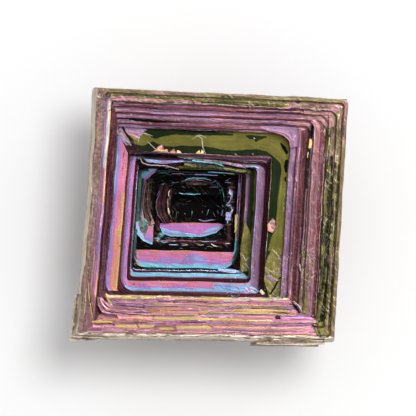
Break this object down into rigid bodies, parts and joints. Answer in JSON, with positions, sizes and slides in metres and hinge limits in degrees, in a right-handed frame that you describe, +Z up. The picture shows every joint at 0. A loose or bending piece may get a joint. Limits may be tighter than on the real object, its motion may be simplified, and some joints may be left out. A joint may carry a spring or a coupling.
{
  "type": "bismuth hopper crystal",
  "caption": "Square hopper crystal of bismuth: a stepped, spiralling funnel of thin ledges inside a raised rim, with rainbow tarnish, on a small flat base.",
  "frame": {"origin": "centre of the crystal's bounding box, at the height of its flat underside", "axes": "+Z up, out of the funnel's mouth; +X along the front side, to the right; +Y to the back"},
  "size_m": [0.0323, 0.03, 0.017],
  "materials": {
    "tarnished_bismuth": "glossy metal under a thin oxide film in pink, violet, blue, green and gold, with a dull tan rim"
  },
  "bodies": {
    "root": {"bismuth_crystal": "tarnished_bismuth"}
  },
  "joints": []
}
